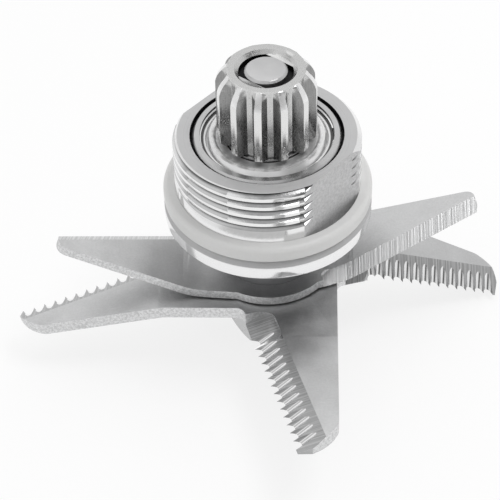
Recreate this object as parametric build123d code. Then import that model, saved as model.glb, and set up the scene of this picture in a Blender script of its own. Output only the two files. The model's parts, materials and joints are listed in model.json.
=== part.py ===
from build123d import *
import os
from math import asin, atan, cos, hypot, radians, sin, tan
from typing import NamedTuple

# Blade assembly of a kitchen blender: a threaded bearing housing, a spindle with a drive spline at one
# end, and two stacked plates of bent blade wings at the other. Millimetres and degrees.
# The origin is on the spindle's axis at the flange's upper face, where the gasket sits, and +Z points to
# the drive end. Azimuths turn from +X towards +Y.

# Clearances
PUSH_FIT = 0.02
RUNNING_GAP = 0.06
BALL_GAP = 0.07

# Housing: a threaded neck with two wrench flats, a flange, and a boss on the blade side
NECK_RADIUS = 16.5
NECK_HEIGHT = 13.75
NECK_CHAMFER = 0.8
THREAD_PITCH = 1.84
THREAD_DEPTH = 0.85
THREAD_ROOT = 0.16
THREAD_ANGLE = 60.0
THREAD_FOOT = 6.18
FLAT_DISTANCE = 14.75
FLAT_AZIMUTH = -41.5
FLANGE_WIDTH = 2.05
FLANGE_THICKNESS = 4.0
FLANGE_CHAMFER = 1.1
FLANGE_ROUND = 0.8
BOSS_WALL = 1.3
BOSS_CHAMFER = 0.5
RIB_WIDTH = 1.5
RIB_LEDGE = 1.6
MOUTH_RELIEF = 0.45
MOUTH_DEPTH = 1.6

# Gasket
GASKET_THICKNESS = 3.15
GASKET_OVERHANG = 0.02
GASKET_ROUND = 0.9

# Deep-groove ball bearings, two alike
BEARING_BORE_RADIUS = 5.0
BEARING_RADIUS = 13.0
BEARING_WIDTH = 8.0
BEARING_CHAMFER = 0.35
BALL_RADIUS = 2.381
BALL_COUNT = 7
INNER_RING_WALL = 2.3
OUTER_RING_RIM = 1.3
SHIELD_SEAT_WIDTH = 1.1
SHIELD_SEAT_DEPTH = 1.2
SHIELD_SHEET = 0.3
SHIELD_GAP = 0.2
SHIELD_RIM = 0.95
SHIELD_RISE = 0.65
SHIELD_STEP = 0.8
SHIELD_STEP_DEPTH = 0.2
SHIELD_FALL = 0.4
SHIELD_DISH_DEPTH = 0.45
WIRE_RADIUS = 0.22
WIRE_SPLIT = 8.0
RACE_CONFORMITY = 1.07
CAGE_WALL = 0.45
CAGE_WIDTH = 1.8
CAGE_PRONG = 1.2

# Shaft seal
SEAL_WIDTH = 3.4
SEAL_CASE_SHEET = 0.6
LIP_THICKNESS = 0.9
LIP_HEIGHT = 2.4
GARTER_WIRE_RADIUS = 0.4

# Spindle
SPINDLE_TIP_RADIUS = 3.7
SPINDLE_TIP_LENGTH = 1.6
SPINDLE_TIP_CHAMFER = 0.4
DRIVE_SEAT_RADIUS = 4.7
DRIVE_SEAT_FLATS = 7.4
DRIVE_SEAT_AZIMUTH = 52.0
BLADE_SEAT_FLATS = 7.9
NUT_THREAD_RADIUS = 4.0

# Drive spline
SPLINE_HEIGHT = 13.85
SPLINE_HUB_HEIGHT = 0.25
SPLINE_HUB_RADIUS = 6.5
SPLINE_CREST_RADIUS = 8.35
SPLINE_FLOOR_RADIUS = 6.75
SPLINE_TEETH = 12
SPLINE_AZIMUTH = 20.0
SPLINE_CREST_WIDTH = 1.05
SPLINE_FLOOR_WIDTH = 1.0
SPLINE_TOP_ROUND = 1.85
SPLINE_FOOT_CHAMFER = 0.5
SPLINE_COUNTERSINK = 0.65
SPINDLE_TIP_RECESS = 0.1

# Blade collar
COLLAR_RADIUS = 8.2
COLLAR_NOSE_HEIGHT = 0.8
COLLAR_FOOT_RADIUS = 8.7
COLLAR_FOOT_HEIGHT = 2.2
COLLAR_CHAMFER = 0.4
COLLAR_LENGTH = 11.1

# Upper blade: a disc with two plain wings. An edge's offset and slope give its line in the wing's plan
UPPER_PLATE = 1.7
UPPER_DISC_RADIUS = 11.9
UPPER_AZIMUTH = -1.4
UPPER_BEND_ANGLES = (19.1, 20.7)
UPPER_TRAIL = 10.97
UPPER_TRAIL_SLOPE = -0.08
UPPER_BEVEL_OFFSET = 8.62
UPPER_BEVEL_SLOPE = 0.38
UPPER_BEVEL_WIDTH = 2.56
UPPER_BEVEL_START = 10.0
UPPER_BEVEL_ROUND = 1.4
UPPER_TIP_TRAIL = 38.4
UPPER_TIP_LEAD = 38.9
UPPER_TIP_BLUNT = 0.8
UPPER_TIP_BULGE = 0.4
UPPER_TIP_ROUND = 2.0
UPPER_BEND_AT = 13.6
UPPER_BEND_RADIUS = 12.0

# Washer between the blades
SPACER_THICKNESS = 0.3
SPACER_RADIUS = 9.0

# Lower blade: four serrated wings, with down-bends listed anticlockwise from the one at the azimuth
LOWER_PLATE = 2.5
LOWER_AZIMUTH = 0.0
LOWER_DROPS = (26.3, 19.0, 12.0, -6.5)
LOWER_CORNER_RADIUS = 1.8
LOWER_TRAIL = 12.55
LOWER_TRAIL_SLOPE = -0.03
LOWER_BEVEL_OFFSET = 2.9
LOWER_BEVEL_SLOPE = 0.26
LOWER_BEVEL_WIDTH = 5.15
LOWER_BEVEL_START = 14.0
LOWER_BEVEL_ROUND = 2.5
LOWER_TIP_TRAIL = 42.1
LOWER_TIP_LEAD = 47.2
LOWER_TIP_BLUNT = 2.5
LOWER_TIP_BULGE = 0.7
LOWER_TIP_ROUND = 2.8
LOWER_BEND_AT = 19.6
LOWER_BEND_RADIUS = 9.0

# Stretches in which a wing's bend is drawn
BEND_STEPS = 4

# Serration: round flutes ground into the bevel from the sharp edge, from a start to each wing's own end
FLUTE_RADIUS = 1.1
FLUTE_DEPTH = 0.76
FLUTE_PITCH = 2.06
FLUTE_SHARE = 0.75
FLUTE_START = 18.0
FLUTE_ENDS = (45.7, 46.1, 46.1, 45.1)

# Washer and low cap nut
WASHER_RADIUS = 8.0
WASHER_THICKNESS = 1.2
NUT_SIDES = 6
NUT_ACROSS_FLATS = 13.0
NUT_HEIGHT = 12.0
NUT_END_WALL = 2.0
NUT_FACE_RADIUS = 5.8
NUT_CHAMFER_ANGLE = 30.0


class Wing(NamedTuple):
    """Plan of one blade wing: u runs outward from the axis, v from the sharp edge to the trailing edge."""
    thickness: float
    trail_at_axis: float
    trail_slope: float
    bevel_at_axis: float
    bevel_slope: float
    bevel_width: float
    bevel_start: float
    bevel_round: float
    tip_trail: float
    tip_lead: float
    tip_blunt: float
    tip_bulge: float
    tip_round: float
    bend_at: float
    bend_radius: float

    def trail(self, u):
        return self.trail_at_axis + self.trail_slope * u

    def bevel(self, u):
        return self.bevel_at_axis + self.bevel_slope * u

    def sharp(self, u):
        return self.bevel(u) - self.bevel_width

    def bend_reach(self, drop):
        """Length of the bend on each side of its corner."""
        return self.bend_radius * tan(radians(abs(drop)) / 2)


UPPER_WING = Wing(
    thickness=UPPER_PLATE,
    trail_at_axis=UPPER_TRAIL,
    trail_slope=UPPER_TRAIL_SLOPE,
    bevel_at_axis=-UPPER_BEVEL_OFFSET,
    bevel_slope=UPPER_BEVEL_SLOPE,
    bevel_width=UPPER_BEVEL_WIDTH,
    bevel_start=UPPER_BEVEL_START,
    bevel_round=UPPER_BEVEL_ROUND,
    tip_trail=UPPER_TIP_TRAIL,
    tip_lead=UPPER_TIP_LEAD,
    tip_blunt=UPPER_TIP_BLUNT,
    tip_bulge=UPPER_TIP_BULGE,
    tip_round=UPPER_TIP_ROUND,
    bend_at=UPPER_BEND_AT,
    bend_radius=UPPER_BEND_RADIUS,
)
LOWER_WING = Wing(
    thickness=LOWER_PLATE,
    trail_at_axis=LOWER_TRAIL,
    trail_slope=LOWER_TRAIL_SLOPE,
    bevel_at_axis=-LOWER_BEVEL_OFFSET,
    bevel_slope=LOWER_BEVEL_SLOPE,
    bevel_width=LOWER_BEVEL_WIDTH,
    bevel_start=LOWER_BEVEL_START,
    bevel_round=LOWER_BEVEL_ROUND,
    tip_trail=LOWER_TIP_TRAIL,
    tip_lead=LOWER_TIP_LEAD,
    tip_blunt=LOWER_TIP_BLUNT,
    tip_bulge=LOWER_TIP_BULGE,
    tip_round=LOWER_TIP_ROUND,
    bend_at=LOWER_BEND_AT,
    bend_radius=LOWER_BEND_RADIUS,
)

# Radii and heights that follow from the sizes above
FLANGE_RADIUS = NECK_RADIUS + FLANGE_WIDTH
GASKET_RADIUS = FLANGE_RADIUS + GASKET_OVERHANG
BORE_RADIUS = BEARING_RADIUS + PUSH_FIT
INNER_LAND_RADIUS = BEARING_BORE_RADIUS + INNER_RING_WALL
SHIELD_SEAT_RADIUS = BEARING_RADIUS - OUTER_RING_RIM
OUTER_LAND_RADIUS = SHIELD_SEAT_RADIUS - SHIELD_SEAT_WIDTH
BALL_CIRCLE = (INNER_LAND_RADIUS + OUTER_LAND_RADIUS) / 2
UPPER_BEARING_BASE = NECK_HEIGHT - BEARING_WIDTH
LOWER_BEARING_BASE = UPPER_BEARING_BASE - RIB_WIDTH - BEARING_WIDTH
SEAL_BASE = LOWER_BEARING_BASE - SEAL_WIDTH
SPLINE_BASE = NECK_HEIGHT + SPLINE_HUB_HEIGHT
SPLINE_TOP = SPLINE_BASE + SPLINE_HEIGHT
COLLAR_BASE = LOWER_BEARING_BASE - COLLAR_LENGTH
UPPER_PLATE_BASE = COLLAR_BASE - UPPER_PLATE
LOWER_PLATE_TOP = UPPER_PLATE_BASE - SPACER_THICKNESS
LOWER_PLATE_BASE = LOWER_PLATE_TOP - LOWER_PLATE
NUT_TOP = LOWER_PLATE_BASE - WASHER_THICKNESS
NUT_BASE = NUT_TOP - NUT_HEIGHT


def turned(*corners):
    """Solid of revolution about the axis from its (radius, height) corners."""
    return revolve(Plane.XZ * make_face(Polyline(*corners, close=True)), Axis.Z)


def tube(outer, inner, base, top):
    return turned((inner, base), (outer, base), (outer, top), (inner, top))


def torus_at(ring_radius, wire_radius, height):
    return Pos(0, 0, height) * Torus(ring_radius, wire_radius)


def flat_sided(radius, across, azimuth, base, top):
    """Round bar with two opposite flats whose normals point along the azimuth."""
    height = top - base
    bar = Pos(0, 0, base) * Cylinder(radius, height, align=(Align.CENTER, Align.CENTER, Align.MIN))
    slab = Box(across, 2 * across, height, align=(Align.CENTER, Align.CENTER, Align.MIN))
    return bar & Pos(0, 0, base) * Rot(0, 0, azimuth) * slab


def around(shape, count):
    return [Rot(0, 0, 360 * step / count) * shape for step in range(count)]


# Housing and gasket


def thread_corners():
    """Section of the neck's thread from its foot up, drawn as separate rings."""
    root_radius = NECK_RADIUS - THREAD_DEPTH
    root_half = THREAD_ROOT / 2
    mouth_half = root_half + THREAD_DEPTH * tan(radians(THREAD_ANGLE / 2))
    thread_top = NECK_HEIGHT - NECK_CHAMFER - mouth_half
    corners = []
    for number in range(int((thread_top - THREAD_FOOT) / THREAD_PITCH) + 1):
        middle = THREAD_FOOT + THREAD_PITCH * number
        corners += [
            (NECK_RADIUS, middle - mouth_half),
            (root_radius, middle - root_half),
            (root_radius, middle + root_half),
            (NECK_RADIUS, middle + mouth_half),
        ]
    return corners


def housing():
    boss_radius = BORE_RADIUS + BOSS_WALL
    rib_top = UPPER_BEARING_BASE
    rib_radius = BORE_RADIUS - RIB_LEDGE
    body = turned(
        (BORE_RADIUS, SEAL_BASE),
        (boss_radius - BOSS_CHAMFER, SEAL_BASE),
        (boss_radius, SEAL_BASE + BOSS_CHAMFER),
        (boss_radius, -FLANGE_THICKNESS),
        (FLANGE_RADIUS, -FLANGE_THICKNESS),
        (FLANGE_RADIUS, -FLANGE_CHAMFER),
        (FLANGE_RADIUS - FLANGE_CHAMFER, 0),
        (NECK_RADIUS, 0),
        *thread_corners(),
        (NECK_RADIUS, NECK_HEIGHT - NECK_CHAMFER),
        (NECK_RADIUS - NECK_CHAMFER, NECK_HEIGHT),
        (BORE_RADIUS + MOUTH_RELIEF, NECK_HEIGHT),
        (BORE_RADIUS + MOUTH_RELIEF, NECK_HEIGHT - MOUTH_DEPTH),
        (BORE_RADIUS, NECK_HEIGHT - MOUTH_DEPTH),
        (BORE_RADIUS, rib_top),
        (rib_radius, rib_top),
        (rib_radius, rib_top - RIB_WIDTH),
        (BORE_RADIUS, rib_top - RIB_WIDTH),
    )
    flange_edges = body.edges().filter_by(GeomType.CIRCLE).sort_by(SortBy.RADIUS)[-2:]
    body = fillet(flange_edges.sort_by(Axis.Z)[0], FLANGE_ROUND)
    side = Box(
        NECK_RADIUS, 2 * NECK_RADIUS, NECK_HEIGHT, align=(Align.MIN, Align.CENTER, Align.MIN)
    )
    flat = Rot(0, 0, FLAT_AZIMUTH) * Pos(FLAT_DISTANCE, 0, 0) * side
    return body - around(flat, 2)


def gasket():
    """Ring round the neck's foot, with rounded outer edges."""
    disc = Cylinder(GASKET_RADIUS, GASKET_THICKNESS, align=(Align.CENTER, Align.CENTER, Align.MIN))
    disc = fillet(disc.edges().filter_by(GeomType.CIRCLE), GASKET_ROUND)
    return disc - tube(NECK_RADIUS + PUSH_FIT, 0, 0, GASKET_THICKNESS)


# Bearing pieces, drawn with the bearing's lower face at height 0


def bearing_middle():
    return BEARING_WIDTH / 2


def raceway(side):
    """Ring that cuts a race: a little flatter than the balls, and clear of them at its deepest point."""
    wall = RACE_CONFORMITY * BALL_RADIUS
    return torus_at(BALL_CIRCLE + side * (BALL_RADIUS + BALL_GAP - wall), wall, bearing_middle())


def wire_height():
    """Middle of the snap wire below the bearing's face: it lies on the shield's rim."""
    return SHIELD_SEAT_DEPTH - SHIELD_SHEET - WIRE_RADIUS


def both_sides(shape):
    """A piece at the bearing's upper face and its mirror image at the lower face."""
    return shape, mirror(shape, Plane.XY.offset(bearing_middle()))


def outer_ring():
    top = BEARING_WIDTH
    seat = SHIELD_SEAT_DEPTH
    ring = turned(
        (OUTER_LAND_RADIUS, seat),
        (SHIELD_SEAT_RADIUS, seat),
        (SHIELD_SEAT_RADIUS, 0),
        (BEARING_RADIUS - BEARING_CHAMFER, 0),
        (BEARING_RADIUS, BEARING_CHAMFER),
        (BEARING_RADIUS, top - BEARING_CHAMFER),
        (BEARING_RADIUS - BEARING_CHAMFER, top),
        (SHIELD_SEAT_RADIUS, top),
        (SHIELD_SEAT_RADIUS, top - seat),
        (OUTER_LAND_RADIUS, top - seat),
    )
    groove = torus_at(SHIELD_SEAT_RADIUS, WIRE_RADIUS + PUSH_FIT, top - wire_height())
    return ring - [raceway(1), *both_sides(groove)]


def inner_ring():
    top = BEARING_WIDTH
    bore = BEARING_BORE_RADIUS + PUSH_FIT
    ring = turned(
        (bore, BEARING_CHAMFER),
        (bore + BEARING_CHAMFER, 0),
        (INNER_LAND_RADIUS, 0),
        (INNER_LAND_RADIUS, top),
        (bore + BEARING_CHAMFER, top),
        (bore, top - BEARING_CHAMFER),
    )
    return ring - raceway(-1)


def ball_places(shape):
    return around(Pos(BALL_CIRCLE, 0, bearing_middle()) * shape, BALL_COUNT)


def balls():
    return Compound(children=ball_places(Sphere(BALL_RADIUS)))


def cage():
    """Moulded crown cage: a ring beside the balls, with round pockets that open to the lower face."""
    pocket = BALL_RADIUS + BALL_GAP
    outer = BALL_CIRCLE + CAGE_WIDTH / 2
    inner = BALL_CIRCLE - CAGE_WIDTH / 2
    crown = tube(outer, inner, bearing_middle() - CAGE_PRONG, bearing_middle() + pocket + CAGE_WALL)
    return crown - ball_places(Rot(0, 90, 0) * Cylinder(pocket, 2 * CAGE_WIDTH))


def shield():
    """Stamped cover of the upper face: a rim on the ring's seat, a raised step and a dished face."""
    rim_top = BEARING_WIDTH - SHIELD_SEAT_DEPTH + SHIELD_SHEET
    step_top = BEARING_WIDTH - SHIELD_STEP_DEPTH
    dish_top = BEARING_WIDTH - SHIELD_DISH_DEPTH
    rim_radius = SHIELD_SEAT_RADIUS - SHIELD_RIM
    step_radius = rim_radius - SHIELD_RISE
    dish_radius = step_radius - SHIELD_STEP - SHIELD_FALL
    upper_side = (
        (INNER_LAND_RADIUS + SHIELD_GAP, dish_top),
        (dish_radius, dish_top),
        (dish_radius + SHIELD_FALL, step_top),
        (step_radius, step_top),
        (rim_radius, rim_top),
        (SHIELD_SEAT_RADIUS - PUSH_FIT, rim_top),
    )
    lower_side = [(radius, height - SHIELD_SHEET) for radius, height in reversed(upper_side)]
    return turned(*upper_side, *lower_side)


def snap_wire():
    """Split round wire that holds the shield, sprung into the outer ring's groove."""
    section = Plane.XZ * Pos(SHIELD_SEAT_RADIUS, BEARING_WIDTH - wire_height()) * Circle(WIRE_RADIUS)
    return Rot(0, 0, WIRE_SPLIT) * revolve(section, Axis.Z, 360 - 2 * WIRE_SPLIT)


def bearing(name):
    top_shield, bottom_shield = both_sides(shield())
    top_wire, bottom_wire = both_sides(snap_wire())
    return {
        f"{name}_outer_ring": outer_ring(),
        f"{name}_inner_ring": inner_ring(),
        f"{name}_balls": balls(),
        f"{name}_cage": cage(),
        f"{name}_top_shield": top_shield,
        f"{name}_bottom_shield": bottom_shield,
        f"{name}_top_snap_wire": top_wire,
        f"{name}_bottom_snap_wire": bottom_wire,
    }


def inner_spacer():
    """Sleeve between the two inner rings, as wide as the housing's rib."""
    bore = BEARING_BORE_RADIUS + PUSH_FIT
    return tube(INNER_LAND_RADIUS, bore, UPPER_BEARING_BASE - RIB_WIDTH, UPPER_BEARING_BASE)


# Shaft seal


def lip_radius():
    return COLLAR_RADIUS + RUNNING_GAP


def lip_back_radius():
    return lip_radius() + LIP_THICKNESS


def garter_ring_radius():
    return lip_back_radius() + GARTER_WIRE_RADIUS / 2


def garter_height():
    return SEAL_BASE + LIP_HEIGHT - 2 * GARTER_WIRE_RADIUS


def seal_case():
    sheet = SEAL_CASE_SHEET
    window = lip_back_radius()
    return turned(
        (window, SEAL_BASE),
        (BEARING_RADIUS, SEAL_BASE),
        (BEARING_RADIUS, LOWER_BEARING_BASE),
        (BEARING_RADIUS - sheet, LOWER_BEARING_BASE),
        (BEARING_RADIUS - sheet, SEAL_BASE + sheet),
        (window, SEAL_BASE + sheet),
    )


def seal_lip():
    """Rubber lip bonded to the case's window, leaning in to the collar, with a seat for the spring."""
    back = lip_back_radius()
    root = back + LIP_THICKNESS
    sheet = SEAL_CASE_SHEET
    lip = turned(
        (lip_radius() + LIP_THICKNESS / 2, SEAL_BASE),
        (back, SEAL_BASE),
        (back, SEAL_BASE + sheet),
        (root, SEAL_BASE + sheet),
        (root, SEAL_BASE + 2 * sheet),
        (back, SEAL_BASE + 2 * sheet),
        (back, SEAL_BASE + LIP_HEIGHT),
        (lip_radius(), garter_height()),
    )
    return lip - torus_at(garter_ring_radius(), GARTER_WIRE_RADIUS, garter_height())


def garter_spring():
    return torus_at(garter_ring_radius(), GARTER_WIRE_RADIUS - PUSH_FIT, garter_height())


# Spindle and drive spline


def spindle():
    tip_top = SPLINE_TOP - SPINDLE_TIP_RECESS
    seat_top = tip_top - SPINDLE_TIP_LENGTH
    tip = turned(
        (0, seat_top),
        (SPINDLE_TIP_RADIUS, seat_top),
        (SPINDLE_TIP_RADIUS, tip_top - SPINDLE_TIP_CHAMFER),
        (SPINDLE_TIP_RADIUS - SPINDLE_TIP_CHAMFER, tip_top),
        (0, tip_top),
    )
    drive_seat = flat_sided(
        DRIVE_SEAT_RADIUS, DRIVE_SEAT_FLATS, DRIVE_SEAT_AZIMUTH, NECK_HEIGHT, seat_top
    )
    journal = turned(
        (0, COLLAR_BASE),
        (BEARING_BORE_RADIUS, COLLAR_BASE),
        (BEARING_BORE_RADIUS, NECK_HEIGHT),
        (0, NECK_HEIGHT),
    )
    blade_seat = flat_sided(
        BEARING_BORE_RADIUS, BLADE_SEAT_FLATS, LOWER_AZIMUTH, LOWER_PLATE_BASE, COLLAR_BASE
    )
    screw = turned(
        (0, NUT_BASE + NUT_END_WALL + PUSH_FIT),
        (NUT_THREAD_RADIUS, NUT_BASE + NUT_END_WALL + PUSH_FIT),
        (NUT_THREAD_RADIUS, LOWER_PLATE_BASE),
        (0, LOWER_PLATE_BASE),
    )
    return tip + drive_seat + journal + blade_seat + screw


def spline_blank():
    """Turned form of the spline before its teeth are cut: round at the top, with a small cone at the foot."""
    blank = turned(
        (0, SPLINE_BASE),
        (SPLINE_CREST_RADIUS - SPLINE_FOOT_CHAMFER, SPLINE_BASE),
        (SPLINE_CREST_RADIUS, SPLINE_BASE + SPLINE_FOOT_CHAMFER),
        (SPLINE_CREST_RADIUS, SPLINE_TOP),
        (0, SPLINE_TOP),
    )
    top_edge = blank.edges().filter_by(GeomType.CIRCLE).sort_by(Axis.Z)[-1]
    return fillet(top_edge, SPLINE_TOP_ROUND)


def spline_groove():
    """Gap between two teeth, along +X: a narrow floor that widens to the crests."""
    half_pitch = radians(180 / SPLINE_TEETH)
    crest_half = asin(SPLINE_CREST_WIDTH / 2 / SPLINE_CREST_RADIUS)
    mouth_half = SPLINE_CREST_RADIUS * tan(half_pitch - crest_half)
    floor_half = SPLINE_FLOOR_WIDTH / 2
    widening = (mouth_half - floor_half) / (SPLINE_CREST_RADIUS - SPLINE_FLOOR_RADIUS)
    outside = SPLINE_CREST_RADIUS + SPLINE_CREST_WIDTH
    outside_half = floor_half + widening * (outside - SPLINE_FLOOR_RADIUS)
    plan = Polyline(
        (SPLINE_FLOOR_RADIUS, -floor_half),
        (outside, -outside_half),
        (outside, outside_half),
        (SPLINE_FLOOR_RADIUS, floor_half),
        close=True,
    )
    return extrude(Pos(0, 0, SPLINE_BASE) * make_face(plan), SPLINE_HEIGHT)


def drive_spline():
    half_tooth = 180 / SPLINE_TEETH
    grooves = around(Rot(0, 0, SPLINE_AZIMUTH + half_tooth) * spline_groove(), SPLINE_TEETH)
    hub = turned(
        (0, NECK_HEIGHT),
        (SPLINE_HUB_RADIUS, NECK_HEIGHT),
        (SPLINE_HUB_RADIUS, SPLINE_BASE),
        (0, SPLINE_BASE),
    )
    bore_radius = DRIVE_SEAT_RADIUS + PUSH_FIT
    bore = flat_sided(
        bore_radius, DRIVE_SEAT_FLATS + 2 * PUSH_FIT, DRIVE_SEAT_AZIMUTH, NECK_HEIGHT, SPLINE_TOP
    )
    countersink = turned(
        (0, SPLINE_TOP - SPLINE_COUNTERSINK),
        (bore_radius, SPLINE_TOP - SPLINE_COUNTERSINK),
        (bore_radius + SPLINE_COUNTERSINK, SPLINE_TOP),
        (0, SPLINE_TOP),
    )
    return spline_blank() - grooves + hub - [bore, countersink]


# Blade collar, plates, washer and nut


def blade_collar():
    bore = BEARING_BORE_RADIUS + PUSH_FIT
    nose_base = LOWER_BEARING_BASE - COLLAR_NOSE_HEIGHT
    foot_top = COLLAR_BASE + COLLAR_FOOT_HEIGHT
    return turned(
        (bore, COLLAR_BASE),
        (COLLAR_FOOT_RADIUS, COLLAR_BASE),
        (COLLAR_FOOT_RADIUS, foot_top - COLLAR_CHAMFER),
        (COLLAR_FOOT_RADIUS - COLLAR_CHAMFER, foot_top),
        (COLLAR_RADIUS, foot_top),
        (COLLAR_RADIUS, nose_base),
        (INNER_LAND_RADIUS, nose_base),
        (INNER_LAND_RADIUS, LOWER_BEARING_BASE),
        (bore, LOWER_BEARING_BASE),
    )


def sheet_plane(wing, drop, u):
    """Frame on the wing's upper face: x outward along the sheet, y to the trailing edge, z out of it."""
    reach = wing.bend_reach(drop)
    past_corner = u - wing.bend_at
    if past_corner <= -reach:
        turn, x, z = 0, u, 0
    elif past_corner >= reach:
        turn = radians(drop)
        x, z = wing.bend_at + past_corner * cos(turn), -past_corner * sin(turn)
    else:
        turn = radians(drop) * (past_corner + reach) / (2 * reach)
        side = 1 if drop > 0 else -1
        x = wing.bend_at - reach + side * wing.bend_radius * sin(turn)
        z = -side * wing.bend_radius * (1 - cos(turn))
    return Plane((x, 0, z), x_dir=(cos(turn), 0, -sin(turn)), z_dir=(sin(turn), 0, cos(turn)))


def bevel_plane(wing, u):
    """Frame on the bevel, in the sheet's own frame: x along the sharp edge, y up the slope, z out of it."""
    edge = atan(wing.bevel_slope)
    run = wing.bevel_width * cos(edge)
    slope = hypot(run, wing.thickness)
    lean, lift = wing.thickness / slope, run / slope
    outward = (lean * sin(edge), -lean * cos(edge), lift)
    return Plane(
        (u, wing.sharp(u), -wing.thickness), x_dir=(cos(edge), sin(edge), 0), z_dir=outward
    ), slope


def bevel_cut(wing, start, end, corner=0.0):
    """What grinding takes off a flat stretch between two distances, with a round run-out at its start."""
    plane, slope = bevel_plane(wing, start)
    length = (end - start) * hypot(1, wing.bevel_slope)
    outside = wing.thickness
    outline = make_face(
        Polyline((0, -outside), (length, -outside), (length, slope), (0, slope), close=True)
    )
    if corner:
        outline = fillet(outline.vertices().sort_by(Axis.Y)[-2:].sort_by(Axis.X)[0], corner)
    return extrude(plane * outline, 2 * wing.thickness)


def bend_section(wing, drop, u):
    sheet = sheet_plane(wing, drop, u)
    across = Plane(sheet.origin, x_dir=sheet.y_dir, z_dir=sheet.x_dir)
    corners = (
        (wing.trail(u), 0),
        (wing.bevel(u), 0),
        (wing.sharp(u), -wing.thickness),
        (wing.trail(u), -wing.thickness),
    )
    return across * make_face(Polyline(*corners, close=True))


def outer_wing(wing, drop):
    """Bend and straight outer stretch of one wing, with its bevel, outward along +X."""
    reach = wing.bend_reach(drop)
    first, last = wing.bend_at - reach, wing.bend_at + reach
    step = (last - first) / BEND_STEPS
    sections = [bend_section(wing, drop, first + step * number) for number in range(BEND_STEPS + 1)]
    trail_tip = (wing.tip_trail, wing.trail(wing.tip_trail))
    lead_tip = (wing.tip_lead, wing.sharp(wing.tip_lead))
    blunt_tip = (wing.tip_lead, wing.sharp(wing.tip_lead) + wing.tip_blunt)
    sides = Polyline(
        blunt_tip, lead_tip, (last, wing.sharp(last)), (last, wing.trail(last)), trail_tip
    )
    outline = make_face([sides, SagittaArc(trail_tip, blunt_tip, wing.tip_bulge)])
    outline = fillet(outline.vertices().sort_by_distance(trail_tip)[0], wing.tip_round)
    flat = extrude(outline, -wing.thickness) - bevel_cut(wing, 0, 2 * wing.tip_lead)
    corner = sheet_plane(wing, drop, last)
    return loft(sections) + corner * Pos(-last, 0, 0) * flat


def flute(wing, drop, u):
    """Round cutter laid up the bevel, deepest at the sharp edge, running out short of the bevel's top."""
    sheet = sheet_plane(wing, drop, u)
    bevel, slope = bevel_plane(wing, 0)
    place = bevel_plane(wing, u)[0].origin - Vector(u, 0, 0)
    reach = FLUTE_SHARE * slope
    axis = bevel.y_dir * reach + bevel.z_dir * FLUTE_DEPTH
    start = place + bevel.z_dir * (FLUTE_RADIUS - FLUTE_DEPTH)
    cutter = Cylinder(FLUTE_RADIUS, 2 * slope)
    return sheet.location * Plane(start, z_dir=axis).location * cutter


def root_plan(wing, drop):
    """Plan of a wing's flat root, from the axis to the start of its bend."""
    end = wing.bend_at - wing.bend_reach(drop)
    corners = (
        (0, wing.sharp(0)),
        (end, wing.sharp(end)),
        (end, wing.trail(end)),
        (0, wing.trail(0)),
    )
    return make_face(Polyline(*corners, close=True))


def blade_hole():
    radius = BEARING_BORE_RADIUS + PUSH_FIT
    across = BLADE_SEAT_FLATS + 2 * PUSH_FIT
    return flat_sided(radius, across, LOWER_AZIMUTH, NUT_BASE, COLLAR_BASE)


def blade(wing, drops, azimuth, top, root):
    """One plate: a flat root sketch at its top height, and a bent bevelled wing for each drop."""
    plate = extrude(root, -wing.thickness)
    for number, drop in enumerate(drops):
        turn = Rot(0, 0, 360 * number / len(drops))
        plate -= turn * bevel_cut(wing, wing.bevel_start, wing.tip_lead, wing.bevel_round)
        plate += turn * outer_wing(wing, drop)
    return Pos(0, 0, top) * Rot(0, 0, azimuth) * plate


def two_wing_blade():
    drops = [-angle for angle in UPPER_BEND_ANGLES]
    root = Sketch() + Circle(UPPER_DISC_RADIUS) + [
        Rot(0, 0, 180 * number) * root_plan(UPPER_WING, drop) for number, drop in enumerate(drops)
    ]
    return blade(UPPER_WING, drops, UPPER_AZIMUTH, COLLAR_BASE, root) - blade_hole()


def four_wing_blade():
    wing = LOWER_WING
    count = len(LOWER_DROPS)
    root = Sketch() + [
        Rot(0, 0, 360 * number / count) * root_plan(wing, drop) for number, drop in enumerate(LOWER_DROPS)
    ]
    # Inner corners, where a sharp edge starts from the neighbouring wing's trailing edge
    slant = 1 - wing.trail_slope * wing.bevel_slope
    corner_u = (wing.trail_at_axis + wing.trail_slope * wing.sharp(0)) / slant
    corner_distance = hypot(corner_u, wing.sharp(corner_u))
    corners = root.vertices().sort_by(lambda v: abs(hypot(v.X, v.Y) - corner_distance))[:count]
    root = fillet(corners, LOWER_CORNER_RADIUS)
    plate = blade(wing, LOWER_DROPS, LOWER_AZIMUTH, LOWER_PLATE_TOP, root)
    flutes = []
    edge_step = FLUTE_PITCH / hypot(1, wing.bevel_slope)
    for number, (drop, end) in enumerate(zip(LOWER_DROPS, FLUTE_ENDS)):
        place = Pos(0, 0, LOWER_PLATE_TOP) * Rot(0, 0, LOWER_AZIMUTH + 360 * number / count)
        stations = [end - edge_step * step for step in range(int((end - FLUTE_START) / edge_step) + 1)]
        flutes += [place * flute(wing, drop, u) for u in stations]
    return plate - flutes - blade_hole()


def blade_spacer():
    bore = BEARING_BORE_RADIUS + PUSH_FIT
    return tube(SPACER_RADIUS, bore, LOWER_PLATE_TOP, UPPER_PLATE_BASE)


def nut_washer():
    return tube(WASHER_RADIUS, NUT_THREAD_RADIUS + PUSH_FIT, NUT_TOP, LOWER_PLATE_BASE)


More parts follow.
